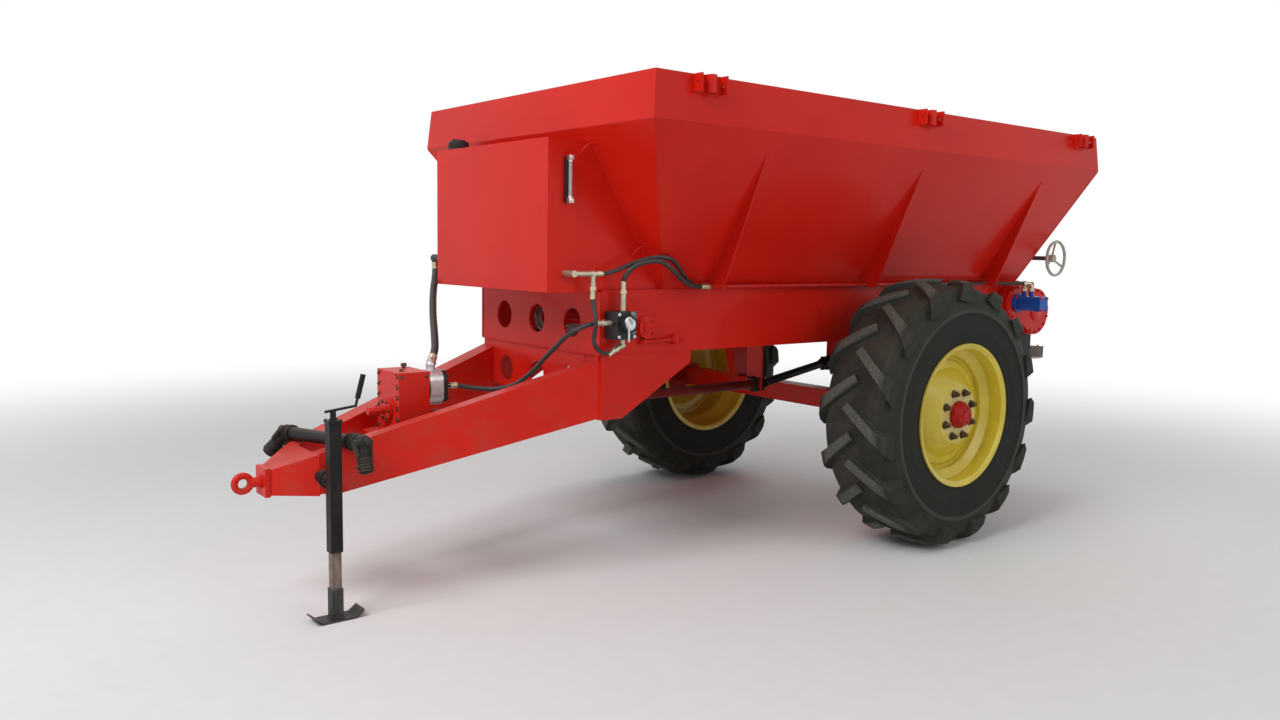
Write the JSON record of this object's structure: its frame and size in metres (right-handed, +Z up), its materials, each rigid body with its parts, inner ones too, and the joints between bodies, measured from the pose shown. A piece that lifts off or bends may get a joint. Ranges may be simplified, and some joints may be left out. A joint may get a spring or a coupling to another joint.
{
  "type": "manure spreader",
  "caption": "Towed spreader with a sloping hopper, floor conveyor, rack-driven rear gate, spreading discs, V drawbar with pump gearbox and parking jack.",
  "frame": {"origin": "on the floor under the middle of the bounding box", "axes": "+X forward to the towing eye, +Y to the machine's left side, +Z up"},
  "size_m": [5.4289, 2.406, 2.266],
  "materials": {
    "red_paint": "gloss",
    "dark_red_paint": "satin",
    "yellow_paint": "gloss",
    "black_paint": "satin",
    "blue_paint": "gloss",
    "tyre": "matte",
    "hose_rubber": "satin",
    "bare_steel": "worn",
    "bright_steel": "satin",
    "worn_steel": "worn",
    "aluminium": "satin",
    "black_plastic": "satin"
  },
  "bodies": {
    "chassis": {"axle_beam": "red_paint", "axle_seats": "red_paint", "sill_left": "red_paint", "sill_right": "red_paint", "front_plate": "red_paint", "cross_members": "red_paint", "gusset_left": "red_paint", "gusset_right": "red_paint", "drawbar_arm_left": "red_paint", "drawbar_arm_right": "red_paint", "drawbar_plate": "red_paint", "drawbar_nose": "red_paint", "jack_tube": "black_paint", "jack_crank": "black_paint", "pto_shaft": "black_paint", "pump_gearbox": "red_paint", "oil_pump": "aluminium", "driveshaft_front": "dark_red_paint", "driveshaft_rear": "black_paint", "shaft_hangers": "red_paint", "hopper_left": "red_paint", "hopper_right": "red_paint", "hopper_front": "red_paint", "hopper_rear": "red_paint", "hopper_rim": "red_paint", "side_ribs": "red_paint", "rim_brackets": "red_paint", "oil_tank": "red_paint", "tank_fittings": "black_plastic", "conveyor_floor": "bare_steel", "conveyor_chains": "bare_steel", "conveyor_slats": "bare_steel", "front_shaft": "red_paint", "rear_shaft": "bare_steel", "take_ups": "red_paint", "drive_case": "red_paint", "drive_motor": "blue_paint", "gate_guides": "red_paint", "spinner_frame": "black_paint", "spinner_gearbox": "black_paint", "control_valve": "black_paint", "steel_pipes": "red_paint", "suction_hose": "hose_rubber", "pressure_hose": "hose_rubber", "supply_hose": "hose_rubber", "return_hose": "hose_rubber", "drain_hose": "hose_rubber"},
    "wheel_left": {"tyre_left": "tyre", "rim_left": "yellow_paint", "hub_left": "red_paint"},
    "wheel_right": {"tyre_right": "tyre", "rim_right": "yellow_paint", "hub_right": "red_paint"},
    "towing_eye": {"hitch_eye": "red_paint"},
    "jack_foot": {"jack_leg": "worn_steel"},
    "outlet_gate": {"gate": "red_paint"},
    "gate_wheel": {"gate_shaft": "bright_steel"},
    "spreader_left": {"disc_left": "bare_steel"},
    "spreader_right": {"disc_right": "bare_steel"}
  },
  "joints": [
    {"name": "wheel_left_spin", "type": "hinge", "parent": "chassis", "child": "wheel_left", "pos_m": [-0.6425, 0.988, 0.704], "axis": [0, 1, 0], "continuous": true},
    {"name": "wheel_right_spin", "type": "hinge", "parent": "chassis", "child": "wheel_right", "pos_m": [-0.6425, -0.988, 0.704], "axis": [0, 1, 0], "continuous": true},
    {"name": "towing_eye_swivel", "type": "hinge", "parent": "chassis", "child": "towing_eye", "pos_m": [2.5575, 0, 0.545], "axis": [1, 0, 0], "continuous": true},
    {"name": "jack_leg_slide", "type": "slide", "parent": "chassis", "child": "jack_foot", "axis": [0, 0, 1], "range_m": [0, 0.145]},
    {"name": "gate_lift", "type": "slide", "parent": "chassis", "child": "outlet_gate", "axis": [-0.1669, 0, 0.986], "range_m": [0, 0.24]},
    {"name": "gate_wheel_turn", "type": "hinge", "parent": "chassis", "child": "gate_wheel", "pos_m": [-2.19715, 0, 1.5229], "axis": [0, 1, 0], "range_deg": [-417, 0]},
    {"name": "spreader_left_spin", "type": "hinge", "parent": "chassis", "child": "spreader_left", "pos_m": [-2.4645, 0.282, 0.85], "axis": [0, 0, 1], "continuous": true},
    {"name": "spreader_right_spin", "type": "hinge", "parent": "chassis", "child": "spreader_right", "pos_m": [-2.4645, -0.282, 0.85], "axis": [0, 0, 1], "continuous": true}
  ],
  "couplings": [
    {"joint": "gate_wheel_turn", "follows": "gate_lift", "rad_per_m": -30.303},
    {"joint": "spreader_right_spin", "follows": "spreader_left_spin", "ratio": -1}
  ]
}
